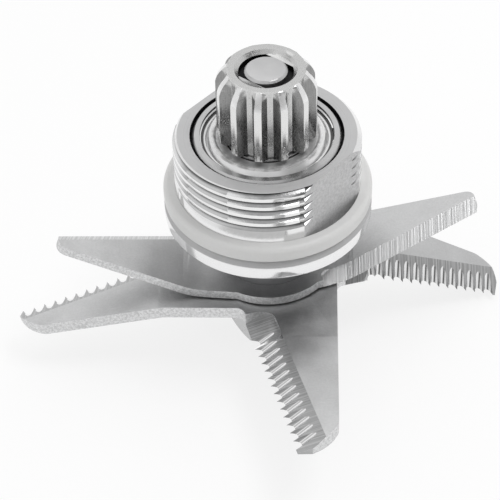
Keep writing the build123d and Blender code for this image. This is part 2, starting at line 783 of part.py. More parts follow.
def cap_nut():
    corner_radius = NUT_ACROSS_FLATS / 2 / cos(radians(180 / NUT_SIDES))
    outline = RegularPolygon(corner_radius, NUT_SIDES)
    hexagon = extrude(Pos(0, 0, NUT_BASE) * outline, NUT_HEIGHT)
    cone_rise = (corner_radius - NUT_FACE_RADIUS) * tan(radians(NUT_CHAMFER_ANGLE))
    envelope = turned(
        (0, NUT_BASE),
        (NUT_FACE_RADIUS, NUT_BASE),
        (corner_radius, NUT_BASE + cone_rise),
        (corner_radius, NUT_TOP),
        (0, NUT_TOP),
    )
    hole = Pos(0, 0, NUT_TOP) * Cylinder(
        NUT_THREAD_RADIUS + PUSH_FIT,
        NUT_HEIGHT - NUT_END_WALL,
        align=(Align.CENTER, Align.CENTER, Align.MAX),
    )
    return (hexagon & envelope) - hole


# Every piece by its node's name


def assembly():
    pieces = {
        "housing": housing(),
        "gasket": gasket(),
        "inner_spacer": inner_spacer(),
        "seal_case": seal_case(),
        "seal_lip": seal_lip(),
        "garter_spring": garter_spring(),
        "spindle": spindle(),
        "drive_spline": drive_spline(),
        "blade_collar": blade_collar(),
        "two_wing_blade": two_wing_blade(),
        "blade_spacer": blade_spacer(),
        "four_wing_blade": four_wing_blade(),
        "nut_washer": nut_washer(),
        "cap_nut": cap_nut(),
    }
    for name, base in (("upper", UPPER_BEARING_BASE), ("lower", LOWER_BEARING_BASE)):
        pieces |= {node: Pos(0, 0, base) * shape for node, shape in bearing(name).items()}
    return pieces


os.makedirs("parts", exist_ok=True)
for node, shape in assembly().items():
    export_step(shape, f"parts/{node}.step")
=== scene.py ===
import json
from math import atan2, copysign, cos, pi, radians, sin, tan

import bmesh
import bpy
from bpy.props import FloatProperty, FloatVectorProperty, IntProperty, PointerProperty
from mathutils import Matrix, Vector


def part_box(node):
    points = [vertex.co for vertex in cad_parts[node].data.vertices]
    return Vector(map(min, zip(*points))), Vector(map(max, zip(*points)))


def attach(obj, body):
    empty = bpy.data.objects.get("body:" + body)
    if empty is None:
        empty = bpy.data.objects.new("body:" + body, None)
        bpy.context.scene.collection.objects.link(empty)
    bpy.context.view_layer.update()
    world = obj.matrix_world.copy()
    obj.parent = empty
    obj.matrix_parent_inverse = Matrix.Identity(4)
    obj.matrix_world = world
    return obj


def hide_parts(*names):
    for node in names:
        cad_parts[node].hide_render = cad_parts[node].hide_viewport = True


bl_info = {
    "name": "Blender Blade Assembly",
    "version": (1, 0, 0),
    "blender": (4, 5, 0),
    "location": "3D View > Sidebar > Blade Assembly",
    "description": "Cuts the thread, wears the edges and gives every piece of the blade assembly its finish",
    "category": "Object",
}

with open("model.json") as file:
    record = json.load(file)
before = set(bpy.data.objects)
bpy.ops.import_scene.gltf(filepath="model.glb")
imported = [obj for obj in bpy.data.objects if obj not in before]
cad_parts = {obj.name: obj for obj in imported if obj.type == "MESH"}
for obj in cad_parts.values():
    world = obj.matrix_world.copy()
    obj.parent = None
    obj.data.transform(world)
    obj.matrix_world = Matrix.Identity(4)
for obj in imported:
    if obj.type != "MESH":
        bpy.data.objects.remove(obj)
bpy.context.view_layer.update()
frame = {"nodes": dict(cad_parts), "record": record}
NODES = frame["nodes"]
BODY_OF = {node: body for body, nodes in frame["record"]["behaviour"]["bodies"].items() for node in nodes}

# Millimetres to Blender's metres
MM = 0.001
# Vertices nearer than this are one vertex
JOIN_DISTANCE = 0.002 * MM
# Faces that meet at less than this lie in one plane
FLAT_ANGLE = radians(0.5)
# Edges that turn by more than this stay sharp
SHARP_ANGLE = radians(20)

UP = Vector((0, 0, 1))
WING_DIRECTIONS = (Vector((1, 0, 0)), Vector((0, 1, 0)), Vector((-1, 0, 0)), Vector((0, -1, 0)))
# Distance from the axis where the flutes start, and an area that every plain face of a blade exceeds
FLUTES_FROM = 17 * MM
PLAIN_AREA = 0.6 * MM * MM
# Share of a flute's half width that its polished floor takes up
FLUTE_FLOOR = 0.6
# How far a sheet's normal leans to a side of its wing at most, and rises at least
SHEET_LEAN, SHEET_RISE = 0.06, 0.6
# How far a bevel's normal leans to the cutting side and rises at least
BEVEL_LEAN, BEVEL_RISE = 0.35, 0.5
# How far a sheared edge's normal leans the other way at least
EDGE_LEAN = 0.3

# Least upward parts of the normals of level faces, of the thread's flanks and of the flange's chamfer
LEVEL, FLANK_RISE, CHAMFER_RISE = 0.98, 0.8, 0.5
# Cosine from which a face looks along the neck's flats
FLAT_MATCH = 0.9999
# Share of the thread's depth, from the root, that painted shade darkens
ROOT_SHADE_SHARE = 0.7
# Turns by which the groove runs on below its foot, and in which it fades there
RUN_OUT_TURNS, FADING_TURNS = 0.2, 0.08

# Cuts along a tooth's nose, and how near its vertices may lie
NOSE_STEPS = 9
NOSE_JOIN = 0.04 * MM
SPLINE_TEETH = 12
# A vertex above this share of a tooth's height lies on its crest
CREST_SHARE = 0.95
# A vertex beyond this share of a crest's half angle lies on the crest's edge
CREST_EDGE = 0.8
# A nose's crest rises within this range and looks outwards within this cosine
NOSE_RISE, CREST_MATCH = (0.2, 0.75), 0.98
# Edges between smaller faces of the spline stay as they are
TOOTH_AREA = PLAIN_AREA / 4
# Faces across a broken edge
ROUND_SEGMENTS = 2
# Slots of the spindle's second finish, painted shade round its tip, and of the spline's worn finish
GAP_SHADE_SLOT = WORN_SLOT = 1

BEARINGS = ("upper", "lower")
GASKET_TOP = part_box("gasket")[1].z
FLOOR_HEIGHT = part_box("cap_nut")[0].z

# Distances from the axis, in millimetres, between which a finish changes or painted shade begins: off the
# rings' lands, on the shields' rims and hubs and in the spline's bore
OUTER_LAND, INNER_LAND = (11.68, 11.78), (8.0, 7.5)
SHIELD_RIDGE, SHIELD_SEAT_SHADE, SHIELD_HUB_SHADE = (9.4, 9.8), (10.95, 11.15), (9.4, 8.6)
SPLINE_BORE_SHADE, SPLINE_CRESTS = (5.6, 5.3), (8.2, 8.55)

# Stage, in metres
FLOOR_HALF = 1.5
SOFTBOX_PLACE = (0.20, -0.06, 0.52)
SOFTBOX_SIZE = 0.20
CLIP_START = 10 * MM
WHITE, BLACK = (1, 1, 1, 1), (0, 0, 0, 1)
# Brightness of the sky's walls and what its roof and the glow at the back left add
SKY_WALLS, SKY_ROOF, SKY_GLOW = 0.64, 0.34, 0.24
# Heights between which the walls turn into the roof
ROOF_FROM = (0.72, 0.88)
# Patches of the sky: direction to the right, back and up, and the cosines where a patch begins and is full
GLOW = (-0.5, 0.66, 0.56), 0.9, 0.98
LEFT_FLAG = (-0.65, 0.24, 0.72), 0.92, 0.98
RIGHT_FLAG = (0.56, -0.3, 0.77), 0.88, 0.97
# The dark seam in the roof: how far left it lies, and where it ends to the sides, to the back and downwards
SEAM_LEFT, SEAM_SIDES, SEAM_BACK, SEAM_LOW = 0.03, (0.36, 0.2), (0.0, -0.15), (0.78, 0.88)
FRONT_FROM = (-0.5, -0.7)
# Shares of the light that the seam, the front and the two flags take away
SEAM_SHARE, FRONT_SHARE, LEFT_SHARE, RIGHT_SHARE = 0.65, 0.35, 0.4, 0.85


# Settings


def length(name, description, millimetres):
    return FloatProperty(
        name=name, description=description, default=millimetres * MM, unit="LENGTH", precision=5
    )


def angle(name, description, degrees):
    return FloatProperty(name=name, description=description, default=radians(degrees), subtype="ANGLE")


def tint(name, description, colour):
    return FloatVectorProperty(
        name=name, description=description, default=colour, subtype="COLOR", size=3, min=0, max=1
    )


class BladeSizeSettings(bpy.types.PropertyGroup):
    """Sizes of what is modelled on top of the solids."""

    thread_pitch: length("Thread Pitch", "Distance between two turns of the neck's thread", 1.84)
    thread_radius: length("Thread Radius", "Outer radius of the neck's thread", 16.5)
    thread_depth: length("Thread Depth", "Depth of the thread's groove", 0.85)
    thread_root: length("Thread Root", "Width of the groove's floor", 0.16)
    thread_foot: length("Thread Foot", "Height of the lowest groove at the front", 6.18)
    thread_turns: FloatProperty(
        name="Thread Turns", description="Turns of the groove above its foot", default=4.6
    )
    thread_steps: IntProperty(
        name="Thread Steps", description="Straight stretches in one turn of the groove", default=160
    )
    flat_distance: length("Flat Distance", "Distance of the neck's flats from its axis", 14.75)
    flat_azimuth: angle("Flat Azimuth", "Direction that one flat faces", -41.5)
    recess_radius: length("Recess Radius", "Radius of the dark gap round the upper bearing", 13.6)
    tip_length: length("Tip Length", "Depth that takes in the shoulder round the spindle's tip", 2.5)
    spline_floor: length("Spline Floor", "Radius of the floors between the spline's teeth", 6.75)
    spline_crest: length("Spline Crest", "Radius of the teeth's crests", 8.73)
    spline_round: length("Spline Round", "Radius of the round at the top of the solid's teeth", 1.85)
    nose_length: length("Nose Length", "Height over which a tooth falls back to the top ring", 3.7)
    tooth_azimuth: angle("Tooth Azimuth", "Direction of one tooth", 20)
    crest_half: angle("Crest Half", "Half the angle that a crest takes up", 4.2)
    spline_wear: length("Spline Wear", "Width of the worn edges of the drive spline", 0.14)
    blade_wear: length("Blade Wear", "Width of the broken edges of the blades", 0.06)
    turned_wear: length("Turned Wear", "Width of the broken edges of turned pieces", 0.12)


class BladeFinishSettings(bpy.types.PropertyGroup):
    """Colours of the finishes."""

    bright_steel: tint("Bright Steel", "Polished and ground steel", (0.86, 0.86, 0.862))
    faced_steel: tint("Faced Steel", "Turned faces and bearing rings", (0.57, 0.57, 0.573))
    satin_steel: tint("Satin Steel", "Rolled blade sheet", (0.58, 0.582, 0.585))
    blasted_steel: tint("Blasted Steel", "Matt flats of the neck", (0.57, 0.57, 0.574))
    spindle_steel: tint("Spindle Steel", "Ground spindle", (0.57, 0.57, 0.573))
    sintered_steel: tint("Sintered Steel", "Drive spline", (0.77, 0.77, 0.766))
    # Painted shade: near-black colour for the gaps round the upper bearing and round the spindle's tip
    painted_gap_shade: tint("Recess", "Oily gap round the upper bearing", (0.035, 0.035, 0.036))
    # Painted shade: the collar's steel is darkened for the shade under the housing
    shaded_collar_steel: tint("Dark Steel", "Blade collar", (0.29, 0.29, 0.298))
    silicone: tint("Silicone", "Sealing gasket", (0.69, 0.69, 0.684))
    rubber: tint("Rubber", "Lip of the shaft seal", (0.03, 0.03, 0.032))
    cage: tint("Cage", "Moulded ball cages", (0.62, 0.52, 0.33))


class BladeStageSettings(bpy.types.PropertyGroup):
    """Camera, lights and floor."""

    camera_place: FloatVectorProperty(
        name="Camera Place",
        description="Where the camera stands",
        default=(-0.00012, -0.24151, 0.21543),
        subtype="TRANSLATION",
        unit="LENGTH",
    )
    camera_heading: angle("Camera Heading", "Turn to the right", -0.794)
    camera_dip: angle("Camera Dip", "Downward tilt", 43.558)
    camera_roll: angle("Camera Roll", "Turn about the line of sight", -1.498)
    camera_lens: FloatProperty(
        name="Camera Lens",
        description="Focal length in millimetres",
        default=130.33,
        subtype="DISTANCE_CAMERA",
    )
    floor: tint("Floor", "Pale floor", (0.95, 0.95, 0.95))
    floor_lift: FloatProperty(
        name="Floor Lift",
        description="Share of plain white in the floor as it is seen",
        default=0.75,
        min=0,
        max=1,
        subtype="FACTOR",
    )
    sky: FloatProperty(name="Sky", description="Strength of the surrounding light", default=1.35)
    key_light: FloatProperty(
        name="Key Light", description="Power of the softbox overhead", default=0.8, unit="POWER"
    )


# Shader maths


class Value:
    """A shader socket that Python's arithmetic works on: each operation adds a Math node to its finish."""

    def __init__(self, finish, socket):
        self.finish = finish
        self.socket = socket

    def _math(self, operation, first, second):
        return self.finish.node("ShaderNodeMath", {"operation": operation}, {0: first, 1: second})

    def __add__(self, other):
        return self._math("ADD", self, other)

    def __radd__(self, other):
        return self._math("ADD", other, self)

    def __sub__(self, other):
        return self._math("SUBTRACT", self, other)

    def __rsub__(self, other):
        return self._math("SUBTRACT", other, self)

    def __mul__(self, other):
        return self._math("MULTIPLY", self, other)

    def __rmul__(self, other):
        return self._math("MULTIPLY", other, self)

    def __truediv__(self, other):
        return self._math("DIVIDE", self, other)

    def __rtruediv__(self, other):
        return self._math("DIVIDE", other, self)

    def __pow__(self, other):
        return self._math("POWER", self, other)

    def __abs__(self):
        return self._math("ABSOLUTE", self, 0.0)

    def __gt__(self, other):
        return self._math("GREATER_THAN", self, other)


# Asks for every output of a node
ALL = "all"


class NodeBuilder:
    """A node tree under construction."""

    def __init__(self, tree):
        self.tree = tree

    def feed(self, socket, given):
        if isinstance(given, Value):
            self.tree.links.new(given.socket, socket)
        else:
            socket.default_value = given

    def node(self, kind, settings=None, inputs=None, output=0):
        """Adds a node: its settings first, then the values or links of its sockets."""
        made = self.tree.nodes.new(kind)
        for name, setting in (settings or {}).items():
            setattr(made, name, setting)
        for key, given in (inputs or {}).items():
            self.feed(made.inputs[key], given)
        if output == ALL:
            return [Value(self, socket) for socket in made.outputs]
        return Value(self, made.outputs[output])

    def axes(self, vector):
        """The three parts of a vector."""
        return self.node("ShaderNodeSeparateXYZ", None, {0: vector}, ALL)

    def blend(self, factor, first, second):
        """Colour between two colours, which have the last sockets of a Mix node."""
        return self.node("ShaderNodeMix", {"data_type": "RGBA"}, {0: factor, 6: first, 7: second}, 2)

    def span(self, value, low, high, start=0.0, end=1.0):
        """Smooth clamped step of a value from low to high."""
        return self.node(
            "ShaderNodeMapRange",
            {"interpolation_type": "SMOOTHSTEP"},
            {"Value": value, "From Min": low, "From Max": high, "To Min": start, "To Max": end},
        )


class Finish(NodeBuilder):
    """A material under construction, with places measured in millimetres on the piece."""

    def __init__(self, name, metallic, **uniform):
        self.material = bpy.data.materials.new(name)
        self.material.use_nodes = True
        super().__init__(self.material.node_tree)
        self.shader = self.tree.nodes["Principled BSDF"]
        self.set(Metallic=metallic, **uniform)
        self.place = self.node(
            "ShaderNodeVectorMath",
            {"operation": "SCALE"},
            {0: self.node("ShaderNodeTexCoord", output="Object"), "Scale": 1 / MM},
        )

    def set(self, **inputs):
        """Feeds the shader's sockets; an underscore stands for a space in a socket's name."""
        for name, given in inputs.items():
            self.feed(self.shader.inputs[name.replace("_", " ")], given)

    def noise(self, scale, detail=2.0, roughness=0.5, vector=None):
        """Cloudy values about one half, with scale features in a millimetre."""
        return self.node(
            "ShaderNodeTexNoise",
            None,
            {"Vector": vector or self.place, "Scale": scale, "Detail": detail, "Roughness": roughness},
        )

    def lines(self, along, scale, detail=2.0):
        """Values that change along one distance only, as tool marks do."""
        return self.node(
            "ShaderNodeTexNoise", {"noise_dimensions": "1D"}, {"W": along, "Scale": scale, "Detail": detail}
        )

    def stretched(self, x, y, z):
        """The place with each axis stretched by its own factor, for grain that runs one way."""
        return self.node(
            "ShaderNodeVectorMath", {"operation": "MULTIPLY"}, {0: self.place, 1: (x, y, z)}
        )

    def from_axis(self):
        """Distance from the spindle's axis in millimetres."""
        x, y, _ = self.axes(self.place)
        return (x * x + y * y) ** 0.5

    def relief(self, height, depth, under=None):
        """Surface normal raised by a height of up to depth millimetres."""
        inputs = {"Strength": 1.0, "Distance": depth * MM, "Height": height}
        if under is not None:
            inputs["Normal"] = under
        return self.node("ShaderNodeBump", None, inputs)

    def shade(self, colour, factor, dark, light):
        """A colour that varies from a darker to a lighter share of itself."""
        return self.blend(factor, rgba(colour, dark), rgba(colour, light))


def rgba(colour, share=1.0):
    return tuple(min(1.0, part * share) for part in colour) + (1.0,)


# Finishes


def turned_finish(name, colour, roughness, marks=0.004, cloud=0.06):
    """Lathe-turned steel: rings on faces, hoops on cylinders, and a faint cloudiness."""
    made = Finish(name, 1.0)
    _, _, height = made.axes(made.place)
    rings = made.lines(made.from_axis(), 5.0) + made.lines(height, 5.0)
    clouds = made.noise(0.35, 3.0)
    made.set(
        Base_Color=made.shade(colour, clouds, 1 - cloud, 1 + cloud),
        Roughness=roughness * (0.8 + 0.25 * rings * clouds * 2),
        Normal=made.relief(rings, marks, made.relief(made.noise(9.0, 2.0), marks / 2)),
    )
    return made.material


def polished_finish(name, colour, roughness):
    """Bright machined steel with very fine hoops and small smudges."""
    made = Finish(name, 1.0)
    _, _, height = made.axes(made.place)
    hoops = made.lines(height, 9.0)
    smudges = made.noise(0.8, 4.0, 0.6)
    made.set(
        Base_Color=made.shade(colour, smudges, 0.94, 1.04),
        Roughness=made.span(smudges, 0.35, 0.75, roughness * 0.7, roughness * 1.5),
        Normal=made.relief(hoops, 0.0015, made.relief(made.noise(2.2, 3.0), 0.004)),
    )
    return made.material


def groove_finish(name, colour, root, crest):
    """Thread grooves between two radii: bright flanks with painted shade that darkens them towards the root.
    """
    made = Finish(name, 1.0)
    smudges = made.noise(0.8, 4.0, 0.6)
    flank = made.shade(colour, smudges, 0.95, 1.2)
    out_of_shade = made.span(made.from_axis(), root / MM, crest / MM)
    made.set(
        # Painted shade: the flanks go from a dark share of the colour at the root to full colour
        Base_Color=made.blend(out_of_shade, rgba(colour, 0.2), flank),
        Roughness=made.span(smudges, 0.3, 0.7, 0.17, 0.26),
        Normal=made.relief(made.noise(2.2, 3.0), 0.004),
    )
    return made.material


def blasted_finish(name, colour):
    """Bead-blasted steel: matt, finely dimpled, a little uneven."""
    made = Finish(name, 0.2)
    grain = made.noise(2.2, 4.0, 0.7)
    patches = made.noise(0.5, 2.0)
    made.set(
        Base_Color=made.shade(colour, made.span(grain, 0.3, 0.7) * 0.7 + patches * 0.3, 0.8, 1.2),
        Roughness=made.span(patches, 0.3, 0.7, 0.62, 0.72),
        Normal=made.relief(grain, 0.09),
    )
    return made.material


def ring_finish(name, colour):
    """Ground bearing ring: bright faces and painted shade in the seat for the shield."""
    made = Finish(name, 1.0)
    radius = made.from_axis()
    land = made.span(radius, *OUTER_LAND) + made.span(radius, *INNER_LAND)
    rings = made.lines(radius, 5.0)
    clouds = made.noise(0.35, 3.0)
    made.set(
        # Painted shade: off the lands, the ring's seat for the shield takes a near-black share of the colour
        Base_Color=made.blend(land, rgba(colour, 0.08), made.shade(colour, clouds, 0.92, 1.08)),
        Roughness=made.span(clouds, 0.3, 0.7, 0.24, 0.32),
        Normal=made.relief(rings, 0.004),
    )
    return made.material


def shield_finish(name, colour):
    """Pressed bearing shield: a burnished ridge round a dull dish, with painted shade in its seat and at the
    hub.
    """
    made = Finish(name, 0.6)
    radius = made.from_axis()
    ridge = made.span(radius, *SHIELD_RIDGE)
    seat_shade = made.span(radius, *SHIELD_SEAT_SHADE)
    clouds = made.noise(0.9, 4.0, 0.6)
    rings = made.lines(radius, 6.0)
    # Painted shade: the dish darkens towards the hub, under the spline, with a cloudy edge
    hub_shade = made.span(radius + 0.6 * clouds, *SHIELD_HUB_SHADE)
    dish = made.shade(colour, made.span(clouds, 0.3, 0.7) * (1 - 0.8 * hub_shade), 0.58, 1.0)
    made.set(
        # Painted shade: the rim down in the shield's seat takes a near-black share of the colour
        Base_Color=made.blend(seat_shade, made.blend(ridge, dish, rgba(colour)), rgba(colour, 0.1)),
        Roughness=made.span(clouds, 0.3, 0.7, 0.4, 0.48) - 0.24 * ridge,
        Normal=made.relief(rings, 0.003),
    )
    return made.material


def sintered_finish(name, colour):
    """Pressed and sintered steel: crests worn bright, painted shade on the flanks and in the bore, with
    pores and scuffs.
    """
    made = Finish(name, 1.0)
    x, y, _ = made.axes(made.place)
    across_x, across_y, up = made.axes(made.node("ShaderNodeTexCoord", output="Normal"))
    radius = made.from_axis()
    outward = (across_x * x + across_y * y) / radius
    # Painted shade: faces that look sideways darken on the flanks, and the bore takes a near-black share of
    # the colour
    upright = made.span(abs(up), 0.6, 0.4)
    flank = upright * made.span(abs(outward), 0.9, 0.65)
    bore = upright * made.span(radius, *SPLINE_BORE_SHADE)
    crest = made.span(radius, *SPLINE_CRESTS)
    grain = made.noise(3.5, 4.0, 0.65)
    pores = made.span(made.noise(2.4, 3.0, 0.7), 0.64, 0.74)
    scuffs = made.noise(1.0, 3.0, 0.6, made.stretched(4.0, 4.0, 0.5))
    plain = made.shade(colour, scuffs, 0.66, 0.92)
    worn = made.blend(crest, plain, rgba(colour))
    pitted = made.blend(pores * (1 - 0.7 * crest), worn, rgba(colour, 0.3))
    shaded_sides = made.blend(flank, pitted, made.shade(colour, scuffs, 0.26, 0.5))
    made.set(
        Base_Color=made.blend(bore, shaded_sides, rgba(colour, 0.05)),
        Roughness=made.span(grain, 0.3, 0.75, 0.2, 0.34) - 0.06 * crest,
        Normal=made.relief(grain - 0.6 * pores, 0.014),
    )
    return made.material


def sheet_finish(name, colour):
    """Rolled satin sheet: fine grain, soft clouds and a few faint scratches."""
    made = Finish(name, 1.0)
    grain = made.span(made.noise(2.4, 4.0, 0.7), 0.3, 0.7)
    clouds = made.span(made.noise(0.16, 4.0, 0.6), 0.3, 0.7)
    scratches = made.span(made.noise(1.0, 2.0, 0.5, made.stretched(0.3, 5.0, 1.0)), 0.68, 0.74)
    tones = made.shade(colour, clouds * 0.6 + grain * 0.4, 0.9, 1.1)
    made.set(
        Base_Color=made.blend(scratches * 0.4, tones, rgba(colour, 1.3)),
        Roughness=made.span(clouds, 0.0, 1.0, 0.4, 0.5) - 0.1 * scratches,
        Normal=made.relief(grain, 0.012),
    )
    return made.material


def ground_finish(name, colour, dark, light):
    """Ground bevel: streaks across the edge, some deep, between a dark and a light share of the colour."""
    made = Finish(name, 1.0)
    x, y, _ = made.axes(made.place)
    on_y_wing = abs(y) > abs(x)
    outward = x * (1 - on_y_wing) + y * on_y_wing
    fine = made.span(made.lines(outward, 5.0, 3.0), 0.3, 0.7)
    coarse = made.span(made.lines(outward, 2.2, 2.0), 0.4, 0.65)
    worn = made.noise(0.5, 3.0)
    made.set(
        Base_Color=made.shade(colour, fine * 0.5 + coarse * 0.3 + worn * 0.2, dark, light),
        Roughness=made.span(fine, 0.0, 1.0, 0.3, 0.44),
        Normal=made.relief(fine * 0.5 + coarse, 0.012),
    )
    return made.material


def sheared_finish(name, colour):
    """Sheared plate edge: light, torn speckle over a burnished band."""
    made = Finish(name, 1.0)
    speckle = made.span(made.noise(2.4, 4.0, 0.7), 0.35, 0.65)
    torn = made.noise(1.2, 3.0, 0.6)
    made.set(
        Base_Color=made.shade(colour, speckle * 0.6 + torn * 0.4, 0.85, 1.5),
        Roughness=made.span(torn, 0.3, 0.7, 0.36, 0.52),
        Normal=made.relief(speckle * 0.5 + torn, 0.015),
    )
    return made.material


def silicone_finish(name, colour):
    """Smooth white silicone with a soft gloss and a trace of dust."""
    made = Finish(name, 0.0, Specular_IOR_Level=0.4)
    dust = made.noise(1.6, 4.0, 0.6)
    made.set(
        Base_Color=made.shade(colour, dust, 0.96, 1.03),
        Roughness=made.span(dust, 0.3, 0.7, 0.32, 0.44),
        Normal=made.relief(dust, 0.01),
    )
    return made.material


def rubber_finish(name, colour):
    """Matt black moulded rubber."""
    made = Finish(name, 0.0)
    bloom = made.noise(2.5, 3.0)
    made.set(
        Base_Color=made.shade(colour, bloom, 0.8, 1.5),
        Roughness=made.span(bloom, 0.3, 0.7, 0.5, 0.7),
        Normal=made.relief(bloom, 0.01),
    )
    return made.material


def moulded_finish(name, colour):
    """Moulded cage plastic with a faint grain."""
    made = Finish(name, 0.0)
    grain = made.noise(3.0, 3.0)
    made.set(
        Base_Color=made.shade(colour, grain, 0.9, 1.08),
        Roughness=made.span(grain, 0.3, 0.7, 0.4, 0.55),
        Normal=made.relief(grain, 0.008),
    )
    return made.material


# Meshes


def solid_of(node):
    """The node's shape as an editable mesh, with joined vertices and whole flat faces."""
    shape = bmesh.new()
    shape.from_mesh(NODES[node].data)
    join_and_flatten(shape)
    return shape


def join_and_flatten(shape):
    bmesh.ops.remove_doubles(shape, verts=shape.verts, dist=JOIN_DISTANCE)
    bmesh.ops.dissolve_degenerate(shape, dist=JOIN_DISTANCE, edges=shape.edges)
    bmesh.ops.dissolve_limit(shape, angle_limit=FLAT_ANGLE, verts=shape.verts, edges=shape.edges)


def break_edges(shape, width, smallest=0.0, slot=-1):
    """Rounds every sharp edge between faces larger than the smallest area; slot is the rounds' material."""
    edges = [
        edge for edge in shape.edges
        if len(edge.link_faces) == 2
        and edge.calc_face_angle() > SHARP_ANGLE
        and min(face.calc_area() for face in edge.link_faces) > smallest
    ]
    bmesh.ops.bevel(
        shape,
        geom=edges,
        offset=width,
        segments=ROUND_SEGMENTS,
        profile=0.5,
        affect="EDGES",
        clamp_overlap=True,
        material=slot,
    )


def object_from(shape, name):
    """New object from an edited mesh, smooth but for its sharp edges."""
    mesh = bpy.data.meshes.new(name)
    shape.to_mesh(mesh)
    shape.free()
    return object_with(mesh, name)


def object_with(mesh, name):
    mesh.polygons.foreach_set("use_smooth", [True] * len(mesh.polygons))
    mesh.set_sharp_from_angle(angle=SHARP_ANGLE)
    made = bpy.data.objects.new(name, mesh)
    bpy.context.scene.collection.objects.link(made)
    return made


def stand_for(piece, node, *materials):
    """The piece takes the node's place and body, in these materials."""
    for material in materials:
        piece.data.materials.append(material)
    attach(piece, BODY_OF[node])
    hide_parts(node)


def dress(material, *nodes):
    """Gives CAD nodes that show as they are their material."""
    for node in nodes:
        for slot in NODES[node].material_slots:
            slot.material = material


def worn_piece(node, name, width, material):
    """Piece with the node's shape and broken edges."""
    shape = solid_of(node)
    break_edges(shape, width)
    stand_for(object_from(shape, name), node, material)


def leg(longest, other):
    """Third side of a right-angled triangle."""
    return (longest ** 2 - other ** 2) ** 0.5


def draw_noses(shape, sizes):
    """Gives the spline's teeth their full crests and the long noses that fall back to the top ring."""
    top = max(vert.co.z for vert in shape.verts)
    solid_crest = max(vert.co.xy.length for vert in shape.verts)
    for step in range(1, NOSE_STEPS):
        bmesh.ops.bisect_plane(
            shape,
            geom=[*shape.verts, *shape.edges, *shape.faces],
            dist=JOIN_DISTANCE,
            plane_co=(0, 0, top - sizes.nose_length * step / NOSE_STEPS),
            plane_no=UP,
        )
    pitch = 2 * pi / SPLINE_TEETH
    for vert in shape.verts:
        radius, depth = vert.co.xy.length, top - vert.co.z
        if radius < sizes.spline_floor + JOIN_DISTANCE:
            continue
        rounded = max(0.0, sizes.spline_round - depth)
        solid_reach = solid_crest - sizes.spline_round + leg(sizes.spline_round, rounded)
        share = (radius - sizes.spline_floor) / (solid_reach - sizes.spline_floor)
        along = min(1.0, depth / sizes.nose_length)
        tooth_height = (sizes.spline_crest - sizes.spline_floor) * along * (2 - along)
        azimuth = atan2(vert.co.y, vert.co.x) - sizes.tooth_azimuth
        tooth = round(azimuth / pitch) * pitch
        swing = azimuth - tooth
        if share > CREST_SHARE and abs(swing) > CREST_EDGE * sizes.crest_half:
            swing = copysign(sizes.crest_half, swing)
        reach = sizes.spline_floor + share * tooth_height
        direction = sizes.tooth_azimuth + tooth + swing
        vert.co.xy = reach * cos(direction), reach * sin(direction)
    bmesh.ops.remove_doubles(shape, verts=shape.verts, dist=NOSE_JOIN)


def fill_grooves(shape, sizes):
    """Brings the solid's plain ring grooves out to the neck's outside, where the helix is cut instead."""
    outside = sizes.thread_radius - JOIN_DISTANCE
    floor = sizes.thread_radius - sizes.thread_depth - JOIN_DISTANCE
    shoulder = max(vert.co.z for vert in shape.verts if vert.co.xy.length > outside and vert.co.z > 0)
    facing = flat_direction(sizes)
    # Half the width of a flat, where its plane meets the neck's outside
    reach = leg(sizes.thread_radius, sizes.flat_distance)
    for vert in shape.verts:
        if GASKET_TOP < vert.co.z < shoulder - JOIN_DISTANCE and floor < vert.co.xy.length < outside:
            vert.co.xy *= sizes.thread_radius / vert.co.xy.length
            depth = vert.co.dot(facing)
            if abs(depth) > sizes.flat_distance:
                along = (vert.co.xy - depth * facing.xy).normalized()
                vert.co.xy = copysign(sizes.flat_distance, depth) * facing.xy + reach * along
    join_and_flatten(shape)


def flat_direction(sizes):
    return Vector((cos(sizes.flat_azimuth), sin(sizes.flat_azimuth), 0))


def wing_run(shape, outward):
    """Direction in which a wing's sheet runs outwards and down or up."""
    sheets = [
        face for face in shape.faces
        if face.normal.z > SHEET_RISE
        and abs(face.normal.dot(UP.cross(outward))) < SHEET_LEAN
        and face.calc_center_median().dot(outward) > FLUTES_FROM
    ]
    normal = max(sheets, key=lambda face: face.calc_area()).normal if sheets else UP
    return (outward - outward.dot(normal) * normal).normalized()


def sort_blade_faces(shape):
    """Gives each face of a blade the slot of its sheet, bevel, sheared edge or flute's floor."""
    sheet, bevel, edge, flute = range(4)
    runs = [wing_run(shape, outward) for outward in WING_DIRECTIONS]
    for face in shape.faces:
        centre = face.calc_center_median()
        outward, run = max(zip(WING_DIRECTIONS, runs), key=lambda pair: centre.dot(pair[0]))
        # The cutting side of a wing is the one that this looks away from
        lean = face.normal.dot(UP.cross(outward))
        if abs(lean) < SHEET_LEAN and abs(face.normal.z) > SHEET_RISE:
            face.material_index = sheet
        elif lean < -BEVEL_LEAN and face.normal.z > BEVEL_RISE and face.calc_area() > PLAIN_AREA:
            face.material_index = bevel
        elif lean > EDGE_LEAN or centre.dot(outward) < FLUTES_FROM:
            face.material_index = edge
        else:
            face.material_index = flute if abs(face.normal.dot(run)) < FLUTE_FLOOR else bevel


